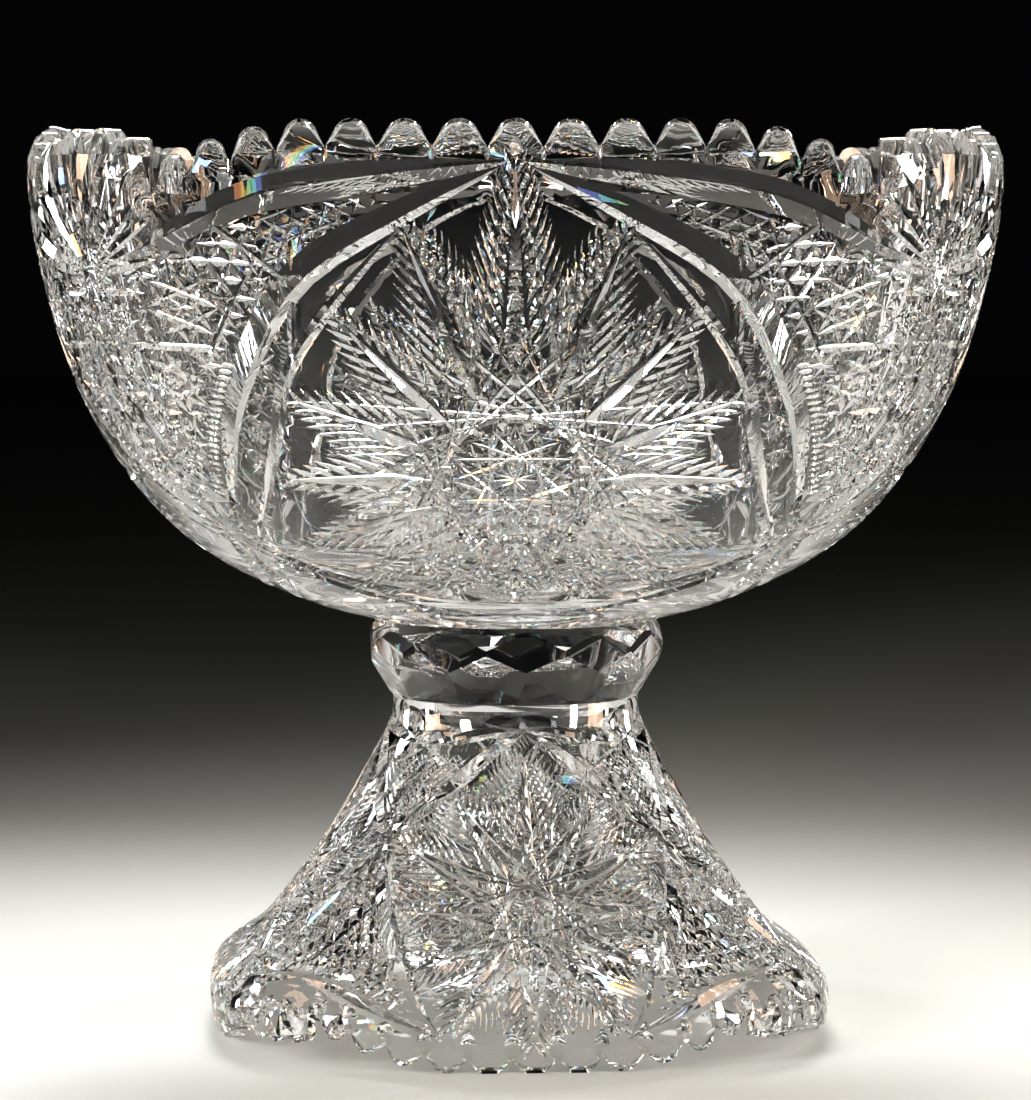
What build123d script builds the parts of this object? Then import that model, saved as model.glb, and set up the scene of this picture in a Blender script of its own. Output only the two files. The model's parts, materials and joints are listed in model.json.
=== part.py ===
from build123d import *
import math
import os

# Cut crystal punch bowl in two pieces: a deep rounded-square bowl with a faceted
# collar foot, standing in the hollow neck of a flared, toothed stand.
# Millimetres. +Z is up. The origin is on the axis, at the level the stand rests on.
# Each piece repeats four times round the axis: panels face +X, +Y, -X and -Y, and
# corners lie between them.

# ---- Driving dimensions ----
RIM_HEIGHT = 327.5
SEAT_HEIGHT = 121.0
STAND_TURN = 3.5

# Bowl, outside: height, half width across the panels, squareness of the plan.
# Squareness 2 is a circle; a larger number is a squarer outline.
BOWL_OUTER = [
    (149.0, 50.0, 2.0),
    (155.0, 72.5, 2.0),
    (166.0, 98.0, 2.15),
    (179.0, 117.5, 2.5),
    (190.0, 128.8, 2.8),
    (202.0, 138.0, 3.1),
    (221.0, 149.0, 3.5),
    (240.0, 157.0, 3.9),
    (262.0, 163.2, 4.3),
    (285.0, 168.0, 4.5),
    (302.0, 170.4, 4.6),
    (313.0, 170.8, 4.6),
    (321.0, 168.8, 4.6),
    (329.0, 162.5, 4.6),
]
BOWL_RIM_HALF = 170.6
BOWL_RIM_SQUARENESS = 4.6

# Bowl, inside: a rounded bottom, an even wall, and a rim that thins to its edge.
BOWL_WALL = 11.0
BOWL_WELL = (167.0, 72.0, 2.1)
EVEN_WALL_ROWS = slice(3, 12)
BOWL_MOUTH = (331.0, 161.0, 4.6)

# Collar foot under the bowl: radius and height, from the seat up.
COLLAR_PROFILE = [
    (44.8, 121.0),
    (46.5, 122.6),
    (55.2, 137.0),
    (55.2, 143.0),
    (45.0, 158.5),
]
# Rows of flat facets: height, radius, offset in facets, lean upwards in degrees.
COLLAR_FACETS = 12
COLLAR_TURN = 4.0
FACET_ROWS = [(148.0, 51.0, 0.5, 31.0), (140.0, 53.0, 0.0, 0.0), (131.0, 49.8, 0.5, -30.0)]
FACET_CUT = (20.0, 80.0, 60.0)

# Peg under the bowl that centres it in the stand's neck, and the neck bore.
PEG_RADIUS = 30.0
PEG_LENGTH = 12.0
NECK_BORE_RADIUS = 31.0
NECK_BORE_BOTTOM = 95.0
NECK_BORE_LENGTH = 40.0

# Stand, outside and inside.
STAND_OUTER = [
    (0.0, 109.5, 3.2),
    (8.0, 111.8, 3.2),
    (17.0, 112.6, 3.2),
    (23.0, 110.0, 3.2),
    (28.0, 104.0, 3.15),
    (33.0, 97.0, 3.05),
    (38.0, 91.8, 3.0),
    (46.0, 85.8, 2.85),
    (54.0, 80.0, 2.7),
    (72.0, 68.0, 2.35),
    (90.0, 57.8, 2.1),
    (104.0, 50.2, 2.0),
    (113.0, 46.0, 2.0),
    (121.0, 45.0, 2.0),
]
STAND_INNER = [
    (-2.0, 102.0, 3.2),
    (10.0, 103.0, 3.2),
    (17.0, 102.0, 3.2),
    (24.0, 97.0, 3.15),
    (30.0, 89.5, 3.1),
    (38.0, 80.5, 3.0),
    (54.0, 68.5, 2.7),
    (72.0, 55.5, 2.35),
    (88.0, 44.5, 2.1),
    (100.0, 35.0, 2.0),
    (107.0, 30.0, 2.0),
]
FOOT_HALF = 112.0
FOOT_SQUARENESS = 3.2

# Teeth along the rim and along the foot. A notch parts each panel from its corners.
NOTCH_ANGLE = 36.0
NOTCH_OVERLAP = 1.8
TOOTH_CROWDING = 0.95
TOOTH_SHOULDER = 0.17
TOOTH_SHOULDER_DROP = 0.42
TRIM_MARGIN = 20.0
RIM_PANEL_TEETH = 15
RIM_CORNER_TEETH = 6
RIM_TOOTH_DEPTH = 10.0
RIM_SCALLOP_DEPTH = 3.5
RIM_LEVEL_HALF = 66.0
RIM_FALL_SPAN = 50.0
RIM_FALL_POWER = 1.7
RIM_PANEL_FALL = 13.0
RIM_CORNER_TOP = 325.0
RIM_CORNER_FALL = 11.0
RIM_CORNER_SPAN = 31.0
RIM_NOTCH_HEIGHT = 303.0
FOOT_PANEL_TEETH = 11
FOOT_CORNER_TEETH = 5
FOOT_TOOTH_DEPTH = 6.0
FOOT_SCALLOP_DEPTH = 3.0
FOOT_GROUND_DEPTH = 0.7
FOOT_LEVEL_HALF = 16.0
FOOT_RISE_SPAN = 55.0
FOOT_PANEL_RISE = 13.0
FOOT_CORNER_LIFT = 8.5
FOOT_CORNER_RISE = 3.0
FOOT_CORNER_SPAN = 20.0
FOOT_NOTCH_HEIGHT = 18.0

# Main mitre cuts: half width and depth of the V, and how far the cutter stands proud.
MITRE_HALF_WIDTH = 3.2
MITRE_DEPTH = 2.6
MITRE_LIFT = 3.0
MITRE_STATIONS = 9
MITRE_BLUNTNESS = 0.6
MITRE_TAPER_POWER = 0.4

# Paths of the main mitre cuts on one half panel, as (angle, height) pairs. The
# angle is measured from the panel's centre line, so 45 is the corner.
BOWL_MITRES = [
    [(0.0, 313.5), (13.0, 309.5), (27.0, 301.7), (37.4, 285.7), (44.5, 277.0)],
    [(2.0, 310.5), (11.8, 295.8), (23.5, 272.8), (32.0, 233.3), (38.0, 203.0), (44.5, 184.5)],
    [(13.8, 289.0), (20.2, 266.3), (26.0, 242.6), (29.5, 218.3), (35.0, 197.0), (43.5, 180.0)],
    [(44.5, 189.0), (38.0, 175.0), (27.0, 166.5), (13.0, 162.0), (0.5, 160.5)],
]
STAND_MITRES = [
    [(0.0, 111.5), (14.0, 104.5), (27.0, 93.0), (36.0, 83.0), (44.5, 75.0)],
    [(44.5, 74.0), (38.0, 56.0), (31.0, 39.0), (24.0, 24.0), (17.0, 12.0)],
    [(17.0, 11.5), (25.0, 15.0), (33.0, 20.0), (39.0, 24.0), (44.8, 26.0)],
]

SECTION_POINTS = 32
NORMAL_STEP = 0.5
QUARTERS = 4


def smooth_between(rows, height):
    """Half width and squareness at a height, by a smooth curve through the rows."""
    last = len(rows) - 1
    i = 0
    while i < last - 1 and height > rows[i + 1][0]:
        i += 1
    span = rows[i + 1][0] - rows[i][0]
    t = min(max((height - rows[i][0]) / span, 0.0), 1.0)
    values = []
    for column in (1, 2):
        before = rows[max(i - 1, 0)]
        after = rows[min(i + 2, last)]
        here = rows[i]
        there = rows[i + 1]
        slope_here = (there[column] - before[column]) / (there[0] - before[0]) * span
        slope_there = (after[column] - here[column]) / (after[0] - here[0]) * span
        a = 2 * here[column] - 2 * there[column] + slope_here + slope_there
        b = 3 * there[column] - 3 * here[column] - 2 * slope_here - slope_there
        values.append(((a * t + b) * t + slope_here) * t + here[column])
    return values


def plan_radius(half, squareness, angle):
    """Radius of the rounded-square outline in the direction of an angle in radians."""
    x = abs(math.cos(angle)) ** squareness
    y = abs(math.sin(angle)) ** squareness
    return half / (x + y) ** (1.0 / squareness)


def section(half, squareness, height):
    """Closed rounded-square outline at a height."""
    points = []
    for i in range(SECTION_POINTS):
        angle = 2 * math.pi * i / SECTION_POINTS
        r = plan_radius(half, squareness, angle)
        points.append((r * math.cos(angle), r * math.sin(angle), height))
    return Wire([Edge.make_spline(points, periodic=True)])


def blank(rows):
    """Solid through rounded-square outlines taken from a smooth side profile."""
    return Solid.make_loft([section(half, n, height) for height, half, n in rows])


def surface_point(rows, angle_deg, height):
    """Point on a blank's side at an angle from the panel's centre line."""
    half, squareness = smooth_between(rows, height)
    angle = math.radians(angle_deg - 90.0)
    r = plan_radius(half, squareness, angle)
    return Vector(r * math.cos(angle), r * math.sin(angle), height)


def surface_normal(rows, angle_deg, height):
    """Outward unit normal of a blank's side."""
    along = surface_point(rows, angle_deg + NORMAL_STEP, height)
    along = along - surface_point(rows, angle_deg - NORMAL_STEP, height)
    up = surface_point(rows, angle_deg, height + NORMAL_STEP)
    up = up - surface_point(rows, angle_deg, height - NORMAL_STEP)
    return along.cross(up).normalized()


def mitre(rows, path):
    """V-shaped cut that follows a path of (angle, height) and thins to both ends."""
    triangles = []
    centres = [surface_point(rows, a, z) for a, z in path]
    proud = 1 + MITRE_LIFT / MITRE_DEPTH
    for i, (a, z) in enumerate(path):
        before = centres[max(i - 1, 0)]
        after = centres[min(i + 1, len(path) - 1)]
        ahead = (after - before).normalized()
        out = surface_normal(rows, a, z)
        side = out.cross(ahead).normalized()
        share = (i + MITRE_BLUNTNESS) / (len(path) - 1 + 2 * MITRE_BLUNTNESS)
        taper = math.sin(math.pi * share) ** MITRE_TAPER_POWER
        wide = MITRE_HALF_WIDTH * taper * proud
        root = centres[i] - out * MITRE_DEPTH * taper
        left = centres[i] + out * MITRE_LIFT * taper + side * wide
        right = centres[i] + out * MITRE_LIFT * taper - side * wide
        triangles.append(Wire.make_polygon([root, left, right], close=True))
    return Solid.make_loft(triangles, ruled=True)


def path_through(knots):
    """Evenly spaced stations of a smooth (angle, height) path through its knots."""
    rows = [(float(i), angle, height) for i, (angle, height) in enumerate(knots)]
    last = len(knots) - 1
    steps = [last * i / (MITRE_STATIONS - 1) for i in range(MITRE_STATIONS)]
    return [tuple(smooth_between(rows, step)) for step in steps]


def with_mitres(shape, rows, mitre_paths):
    """The piece with its main mitre cuts, on both halves of all four panels."""
    for knots in mitre_paths:
        path = path_through(knots)
        for side in (path, mirrored_side(path)):
            cutter = mitre(rows, side)
            quarters = [turned(cutter, 360.0 * k / QUARTERS) for k in range(QUARTERS)]
            shape = shape - quarters
    return shape


def turned(shape, degrees):
    """Shape turned about the axis."""
    return shape.rotate(Axis.Z, degrees)


def mirrored_side(path):
    """The same path on the other side of the panel's centre line."""
    return [(-a, z) for a, z in path]


def crowded(fraction, half_span):
    """Position along a toothed edge: teeth are narrower towards the notches."""
    return half_span * math.sin(fraction * TOOTH_CROWDING) / math.sin(TOOTH_CROWDING)


def toothed_edge(half_span, count, tip_level, depth, notch_level):
    """Edges of a row of rounded teeth, from one notch to the other, in X and Z.

    tip_level gives the height of a tooth's tip at a distance from the centre. A
    positive depth puts the valleys below the tips, and a negative one above.
    """
    edges = []
    stations = [crowded(2 * k / count - 1, half_span) for k in range(count + 1)]
    valley_levels = []
    for k, x in enumerate(stations):
        level = notch_level if k in (0, count) else tip_level(abs(x)) - depth
        valley_levels.append(level)
    for k in range(count):
        x0 = stations[k]
        x1 = stations[k + 1]
        middle = (x0 + x1) / 2
        tip = tip_level(abs(middle))
        inset = (x1 - x0) * TOOTH_SHOULDER
        shoulder_level = tip - depth * TOOTH_SHOULDER_DROP
        low = (x0, 0, valley_levels[k])
        rise = (x0 + inset, 0, shoulder_level)
        top = (middle, 0, tip)
        fall = (x1 - inset, 0, shoulder_level)
        edges.append(Edge.make_line(low, rise))
        edges.append(Edge.make_three_point_arc(rise, top, fall))
        edges.append(Edge.make_line(fall, (x1, 0, valley_levels[k + 1])))
    return edges


def edge_trimmer(half_span, edges, notch_level, far_level, reach):
    """Solid that trims everything beyond a toothed edge on two opposite sides."""
    wide = half_span + NOTCH_OVERLAP
    corners = [
        (half_span, 0, notch_level),
        (wide, 0, notch_level),
        (wide, 0, far_level),
        (-wide, 0, far_level),
        (-wide, 0, notch_level),
        (-half_span, 0, notch_level),
    ]
    closing = [Edge.make_line(a, b) for a, b in zip(corners, corners[1:])]
    outline = Wire(edges + closing)
    face = Face(outline)
    slab = Solid.extrude(face, Vector(0, 2 * reach, 0))
    return slab.moved(Location((0, -reach, 0)))


def toothed(blank_shape, half, squareness, panel, corner, notch_level, far_level):
    """Cut the four toothed panel edges and the four scalloped corner edges.

    panel and corner each give a count of teeth, their tip levels and their depth.
    """
    reach = 2 * half
    notch = math.radians(NOTCH_ANGLE)
    notch_radius = plan_radius(half, squareness, notch)
    panel_half = notch_radius * math.sin(notch)
    corner_half = notch_radius * math.sin(math.radians(45.0 - NOTCH_ANGLE))
    count, level, depth = panel
    edges = toothed_edge(panel_half, count, level, depth, notch_level)
    slab = edge_trimmer(panel_half, edges, notch_level, far_level, reach)
    for degrees in (0, 90):
        blank_shape = blank_shape - turned(slab, degrees)
    count, level, depth = corner
    edges = toothed_edge(corner_half, count, level, depth, notch_level)
    slab = edge_trimmer(corner_half, edges, notch_level, far_level, reach)
    for degrees in (45, 135):
        blank_shape = blank_shape - turned(slab, degrees)
    return blank_shape


def rim_panel_level(distance):
    """Tip height along a panel of the rim: level, then falling to the notch."""
    share = max(0.0, (distance - RIM_LEVEL_HALF) / RIM_FALL_SPAN)
    return RIM_HEIGHT - RIM_PANEL_FALL * share ** RIM_FALL_POWER


def rim_corner_level(distance):
    """Tip height along a corner of the rim: a low dome."""
    return RIM_CORNER_TOP - RIM_CORNER_FALL * (distance / RIM_CORNER_SPAN) ** 2


def foot_panel_level(distance):
    """Tip height along a panel of the foot, rising from the middle to the notch.

    The middle teeth would reach below the ground, so each is ground flat at z 0.
    """
    rise = FOOT_PANEL_RISE * max(0.0, (distance - FOOT_LEVEL_HALF) / FOOT_RISE_SPAN) ** 2
    return rise - FOOT_GROUND_DEPTH


def foot_corner_level(distance):
    """Tip height along a corner of the foot, which is held clear of the ground."""
    return FOOT_CORNER_LIFT + FOOT_CORNER_RISE * (distance / FOOT_CORNER_SPAN) ** 2


def collar():
    """Bulging collar with rows of flat diamond facets."""
    base_z = COLLAR_PROFILE[0][1]
    top_z = COLLAR_PROFILE[-1][1]
    outline = [(0, 0, base_z)]
    for radius, height in COLLAR_PROFILE:
        outline.append((radius, 0, height))
    outline.append((0, 0, top_z))
    section_face = Face(Wire.make_polygon(outline, close=True))
    shape = Solid.revolve(section_face, 360, Axis.Z)
    thick, wide, tall = FACET_CUT
    block = Solid.make_box(thick, wide, tall).moved(Location((0, -wide / 2, -tall / 2)))
    for height, radius, offset, lean in FACET_ROWS:
        cutter = block.moved(Location((radius, 0, height), (0, -lean, 0)))
        for k in range(COLLAR_FACETS):
            degrees = COLLAR_TURN + 360.0 * (k + offset) / COLLAR_FACETS
            shape = shape - turned(cutter, degrees)
    return shape


def bowl_inner_rows():
    """Rows of the bowl's inside, an even wall in from the outside."""
    rows = [BOWL_WELL]
    for height, half, squareness in BOWL_OUTER[EVEN_WALL_ROWS]:
        rows.append((height, half - BOWL_WALL, squareness))
    rows.append(BOWL_MOUTH)
    return rows


# ---- Bowl ----
bowl = blank(BOWL_OUTER) - blank(bowl_inner_rows())
bowl = toothed(
    bowl,
    BOWL_RIM_HALF,
    BOWL_RIM_SQUARENESS,
    (RIM_PANEL_TEETH, rim_panel_level, RIM_TOOTH_DEPTH),
    (RIM_CORNER_TEETH, rim_corner_level, RIM_SCALLOP_DEPTH),
    RIM_NOTCH_HEIGHT,
    RIM_HEIGHT + TRIM_MARGIN,
)
bowl = with_mitres(bowl, BOWL_OUTER, BOWL_MITRES)
bowl = bowl + collar()
peg = Solid.make_cylinder(PEG_RADIUS, PEG_LENGTH)
bowl = bowl + peg.moved(Location((0, 0, SEAT_HEIGHT - PEG_LENGTH)))

# ---- Stand ----
bore = Solid.make_cylinder(NECK_BORE_RADIUS, NECK_BORE_LENGTH)
stand = blank(STAND_OUTER) - blank(STAND_INNER) - bore.moved(Location((0, 0, NECK_BORE_BOTTOM)))
stand = toothed(
    stand,
    FOOT_HALF,
    FOOT_SQUARENESS,
    (FOOT_PANEL_TEETH, foot_panel_level, -FOOT_TOOTH_DEPTH),
    (FOOT_CORNER_TEETH, foot_corner_level, -FOOT_SCALLOP_DEPTH),
    FOOT_NOTCH_HEIGHT,
    -TRIM_MARGIN,
)
stand = with_mitres(stand, STAND_OUTER, STAND_MITRES)
stand = turned(stand, STAND_TURN)

os.makedirs("parts", exist_ok=True)
export_step(bowl, "parts/bowl.step")
export_step(stand, "parts/stand.step")
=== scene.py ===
"""Cut crystal punch bowl on its stand: glass pieces cut groove by groove, and the studio."""
import json
import math
from collections import namedtuple
import bmesh
import bpy
import numpy as np
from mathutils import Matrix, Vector

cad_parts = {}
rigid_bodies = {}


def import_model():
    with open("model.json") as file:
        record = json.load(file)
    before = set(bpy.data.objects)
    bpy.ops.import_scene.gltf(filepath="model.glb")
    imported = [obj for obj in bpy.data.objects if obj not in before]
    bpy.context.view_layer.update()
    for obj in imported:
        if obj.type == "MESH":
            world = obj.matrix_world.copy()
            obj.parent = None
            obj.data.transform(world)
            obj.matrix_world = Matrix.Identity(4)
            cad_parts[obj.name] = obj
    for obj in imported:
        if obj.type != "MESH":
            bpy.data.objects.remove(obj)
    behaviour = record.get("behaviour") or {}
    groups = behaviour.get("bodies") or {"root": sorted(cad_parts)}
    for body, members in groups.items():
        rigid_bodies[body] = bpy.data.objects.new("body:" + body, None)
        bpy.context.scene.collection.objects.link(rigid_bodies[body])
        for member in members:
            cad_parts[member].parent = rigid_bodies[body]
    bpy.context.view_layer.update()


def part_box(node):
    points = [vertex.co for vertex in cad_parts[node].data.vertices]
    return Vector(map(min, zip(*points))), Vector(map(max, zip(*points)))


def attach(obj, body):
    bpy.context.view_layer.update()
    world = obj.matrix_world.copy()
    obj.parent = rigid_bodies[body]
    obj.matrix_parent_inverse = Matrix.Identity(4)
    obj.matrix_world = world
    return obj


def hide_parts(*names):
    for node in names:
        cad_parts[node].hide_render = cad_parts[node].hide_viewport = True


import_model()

# ---- Blanks, in millimetres and degrees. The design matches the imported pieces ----
MM = 0.001
RIM_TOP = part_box("bowl")[1][2] / MM
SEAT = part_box("stand")[1][2] / MM
SEAT_GAP = 0.05
STAND_TURN = 3.5
QUARTERS = 4
CORNER = 45.0

# Outside of each blank: height, half width across the panels, squareness of the plan.
BOWL_OUTER = [
    (149.0, 50.0, 2.0), (155.0, 72.5, 2.0), (166.0, 98.0, 2.15), (179.0, 117.5, 2.5),
    (190.0, 128.8, 2.8), (202.0, 138.0, 3.1), (221.0, 149.0, 3.5), (240.0, 157.0, 3.9),
    (262.0, 163.2, 4.3), (285.0, 168.0, 4.5), (302.0, 170.4, 4.6), (313.0, 170.8, 4.6),
    (321.0, 168.8, 4.6), (329.0, 162.5, 4.6),
]
STAND_OUTER = [
    (0.0, 109.5, 3.2), (8.0, 111.8, 3.2), (17.0, 112.6, 3.2), (23.0, 110.0, 3.2),
    (28.0, 104.0, 3.15), (33.0, 97.0, 3.05), (38.0, 91.8, 3.0), (46.0, 85.8, 2.85),
    (54.0, 80.0, 2.7), (72.0, 68.0, 2.35), (90.0, 57.8, 2.1), (104.0, 50.2, 2.0),
    (113.0, 46.0, 2.0), (121.0, 45.0, 2.0),
]
# Inside of each blank. The bowl's wall is even between its well and its mouth.
BOWL_WALL = 11.0
BOWL_WELL = (167.0, 72.0, 2.1)
EVEN_WALL_ROWS = slice(3, 12)
BOWL_MOUTH = (331.0, 161.0, 4.6)
BOWL_INNER = [(z, half - BOWL_WALL, power) for z, half, power in BOWL_OUTER[EVEN_WALL_ROWS]]
BOWL_INNER = [BOWL_WELL, *BOWL_INNER, BOWL_MOUTH]
STAND_INNER = [
    (-2.0, 102.0, 3.2), (10.0, 103.0, 3.2), (17.0, 102.0, 3.2), (24.0, 97.0, 3.15),
    (30.0, 89.5, 3.1), (38.0, 80.5, 3.0), (54.0, 68.5, 2.7), (72.0, 55.5, 2.35),
    (88.0, 44.5, 2.1), (100.0, 35.0, 2.0), (107.0, 31.0, 2.0), (123.0, 31.0, 2.0),
]
# Columns and rows of each blank's mesh.
BOWL_GRID = (144, 32)
BOWL_INNER_GRID = (104, 26)
STAND_GRID = (176, 36)
STAND_INNER_GRID = (144, 36)

# Collar foot and the peg under it: radius and height, lowest first.
COLLAR = [(44.8, 121.0), (46.5, 122.6), (55.2, 137.0), (55.2, 143.0), (45.0, 158.5)]
COLLAR_COLUMNS = 120
PEG = [(29.0, 109.0), (30.0, 110.0), (30.0, 122.5)]
PEG_COLUMNS = 64
# Rows of flat facets round the collar: height, radius, offset in facets, lean upwards.
COLLAR_FACETS = 12
COLLAR_TURN = 4.0
FACET_ROWS = [(148.0, 51.0, 0.5, 31.0), (140.0, 53.0, 0.0, 0.0), (131.0, 49.8, 0.5, -30.0)]
WELD = 0.001

# Edges sharper than this show as creases.
CREASE = 22.0


def smooth_rows(rows, heights):
    """Half width and squareness at heights, by a smooth curve through the rows."""
    table = np.array(rows)
    z = table[:, 0]
    i = np.clip(np.searchsorted(z, heights) - 1, 0, len(z) - 2)
    span = z[i + 1] - z[i]
    t = np.clip((heights - z[i]) / span, 0.0, 1.0)
    before = np.maximum(i - 1, 0)
    after = np.minimum(i + 2, len(z) - 1)
    columns = []
    for k in range(1, table.shape[1]):
        v = table[:, k]
        rise0 = (v[i + 1] - v[before]) / (z[i + 1] - z[before]) * span
        rise1 = (v[after] - v[i]) / (z[after] - z[i]) * span
        a = 2 * v[i] - 2 * v[i + 1] + rise0 + rise1
        b = 3 * v[i + 1] - 3 * v[i] - 2 * rise0 - rise1
        columns.append(((a * t + b) * t + rise0) * t + v[i])
    return columns


class Skin:
    """A blank's side: a rounded square whose size and squareness follow its rows.

    A place on it is (angle, height): the angle in degrees from the front panel's
    centre line, anticlockwise from above. Charts lay flat millimetres over it.
    """

    LEVELS = 600
    RING_STEPS = 361
    NORMAL_STEP = 0.4
    WIDEST_SHARE = 0.97

    def __init__(self, rows):
        self.heights = np.linspace(rows[0][0], rows[-1][0], self.LEVELS)
        self.half, self.power = smooth_rows(rows, self.heights)
        steps = np.hypot(np.diff(self.half), np.diff(self.heights))
        self.run = np.concatenate([[0.0], np.cumsum(steps)])

    def section(self, height):
        """Half width and squareness of the plan at a height."""
        half = np.interp(height, self.heights, self.half)
        return half, np.interp(height, self.heights, self.power)

    def points(self, angle, height):
        """Points on the side, one row of x, y, z each."""
        angle = np.radians(np.asarray(angle, float))
        half, power = self.section(height)
        across = np.abs(np.sin(angle)) ** power + np.abs(np.cos(angle)) ** power
        r = half / across ** (1.0 / power)
        return np.stack([r * np.sin(angle), -r * np.cos(angle), height + 0 * r], axis=-1)

    def normals(self, angle, height):
        """Outward unit normals of the side."""
        step = self.NORMAL_STEP
        along = self.points(angle + step, height) - self.points(angle - step, height)
        up = self.points(angle, height + step) - self.points(angle, height - step)
        n = np.cross(along, up)
        return n / np.linalg.norm(n, axis=-1, keepdims=True)

    def panel_angle(self, x, height):
        """Angle of the place at a distance from the panel's centre line."""
        half, power = self.section(height)
        share = np.clip(np.abs(x) / half, 0.0, self.WIDEST_SHARE)
        depth = half * (1 - share ** power) ** (1 / power)
        return np.degrees(np.arctan2(np.sign(x) * share * half, depth))

    def corner_angle(self, x, height):
        """Angle of the place at a distance from the corner's centre line."""
        radius = np.linalg.norm(self.points(CORNER + 0 * x, height), axis=-1)
        return CORNER + np.degrees(np.arcsin(x / np.sqrt(radius ** 2 - height ** 2)))

    def panel_chart(self, middle):
        """Chart of a panel round (0, middle): x across, s up along the side."""
        run0 = np.interp(middle, self.heights, self.run)

        def place(x, s):
            z = np.interp(run0 + np.asarray(s, float), self.run, self.heights)
            return self.panel_angle(x, z), z
        return place

    def corner_chart(self, middle):
        """Chart of a corner round its centre line: p along the section, s up the side."""
        run0 = np.interp(middle, self.heights, self.run)
        angles = np.linspace(0.0, 2 * CORNER, self.RING_STEPS)
        ring = self.points(angles, np.full(self.RING_STEPS, middle))
        gaps = np.linalg.norm(np.diff(ring, axis=0), axis=1)
        arc = np.concatenate([[0.0], np.cumsum(gaps)])
        arc -= np.interp(CORNER, angles, arc)
        half0 = np.interp(middle, self.heights, self.half)

        def place(p, s):
            z = np.interp(run0 + np.asarray(s, float), self.run, self.heights)
            half = np.interp(z, self.heights, self.half)
            return np.interp(np.asarray(p, float) * half0 / half, arc, angles), z
        return place


# ---- Cutters: closed V-shaped tubes that follow a path on the skin ----
# A cutter stands above the skin by its depth and LEAST_LIFT, or by LIFT if that is less.
LIFT = 2.2
LEAST_LIFT = 0.8
# Its keel leaves the skin at both ends, to this height.
END_LIFT = 0.06
# Shares of its length over which each kind of cut deepens and rises again.
RAMPS = {"dagger": (0.14, 0.5), "spear": (0.3, 0.75)}
RAMP_POWER = 0.8
LEAF_SKEW = 0.85
EVEN_RAMP = 0.12
EVEN_POWER = 0.7
# Stations along a cut: the longest step between two, and the fewest.
PLAIN = (7.0, 6)
SPEAR = (9.0, 7)
CHORD = (14.0, 6)
BARB = (7.0, 5)
SHORT = (7.0, 4)
LATTICE = (11.0, 3)


def fade(kind, t):
    """Share of its full depth that a cut has, for the share of its length."""
    if kind == "leaf":
        return np.sin(np.pi * t ** LEAF_SKEW) ** RAMP_POWER
    if kind == "even":
        return np.minimum(1.0, np.minimum(t, 1.0 - t) / EVEN_RAMP) ** EVEN_POWER
    sinks, rises = RAMPS[kind]
    return np.minimum(1.0, t / sinks) * np.minimum(1.0, (1.0 - t) / rises) ** RAMP_POWER


def cut_path(skin, angle, height, left, right, deep, kind="even"):
    """Cutter along given places on the skin, as vertices and faces in millimetres.

    left and right are the V's half widths on the skin, each one number or a list of
    numbers for evenly spaced places along the path.
    """
    angle = np.asarray(angle, float)
    height = np.asarray(height, float)
    n = len(angle)
    centre = skin.points(angle, height)
    out = skin.normals(angle, height)
    ahead = np.gradient(centre, axis=0)
    side = np.cross(out, ahead)
    side /= np.linalg.norm(side, axis=1, keepdims=True)
    gaps = np.linalg.norm(np.diff(centre, axis=0), axis=1)
    t = np.concatenate([[0.0], np.cumsum(gaps)])
    t /= t[-1]
    depth = deep * fade(kind, t)
    depth[[0, -1]] = -END_LIFT
    lift = min(LIFT, LEAST_LIFT + deep)
    spread = (depth + lift)[:, None]
    wide = [np.interp(t, np.linspace(0, 1, np.size(w)), np.atleast_1d(w))[:, None]
            for w in (left, right)]
    ring = np.empty((n, 3, 3))
    ring[:, 0] = centre - out * depth[:, None]
    ring[:, 1] = centre + out * lift + side * spread * wide[0] / deep
    ring[:, 2] = centre + out * lift - side * spread * wide[1] / deep
    faces = []
    for a in range(0, 3 * n - 3, 3):
        b = a + 3
        faces.append((a, a + 1, b + 1, b))
        faces.append((a + 1, a + 2, b + 2, b + 1))
        faces.append((a + 2, a, b, b + 2))
    faces.append((0, 2, 1))
    faces.append((3 * n - 3, 3 * n - 2, 3 * n - 1))
    return ring.reshape(-1, 3), faces


def along(start, end, t):
    """Chart place a share of the way from start to end, or past it."""
    return start[0] + (end[0] - start[0]) * t, start[1] + (end[1] - start[1]) * t


def cut_line(skin, chart, start, end, wide, deep, kind="leaf", stations=PLAIN):
    """Cutter along a straight line of a chart, with its stations closer near the ends."""
    step, fewest = stations
    n = max(fewest, int(math.dist(start, end) / step) + 2)
    even = np.linspace(0, 1, n)
    t = ((1 - np.cos(np.pi * even)) / 2 + even) / 2
    angle, height = chart(*along(start, end, t))
    return cut_path(skin, angle, height, wide, wide, deep, kind)


def through(knots, count):
    """Smooth (angle, height) path through given knots."""
    rows = [(float(i), a, z) for i, (a, z) in enumerate(knots)]
    return smooth_rows(rows, np.linspace(0, len(knots) - 1, count))


def mitres(skin, rows, stations):
    """Main mitre cuts through knots: knots, left and right half widths, depth."""
    return [cut_path(skin, *through(knots, stations), left, right, deep, "leaf")
            for knots, left, right, deep in rows]


def polar(radius, turn, centre=(0.0, 0.0)):
    """Chart place at a radius and a turn in radians from straight up."""
    return centre[0] + radius * math.sin(turn), centre[1] + radius * math.cos(turn)


# Shares that shape every star: where spears start past the hub, where chords start
# before the tip, where the valley between two points lies and how far it leans, how
# far along the first barb is in pitches, and how much of a barb runs back.
SPEAR_START = 1.05
CHORD_START = 0.98
VALLEY_REACH = 0.47
VALLEY_LEAN = 0.3
FIRST_BARB = 0.3
BARB_BACK = 0.08
FEWEST_BARBS = 4


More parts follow.
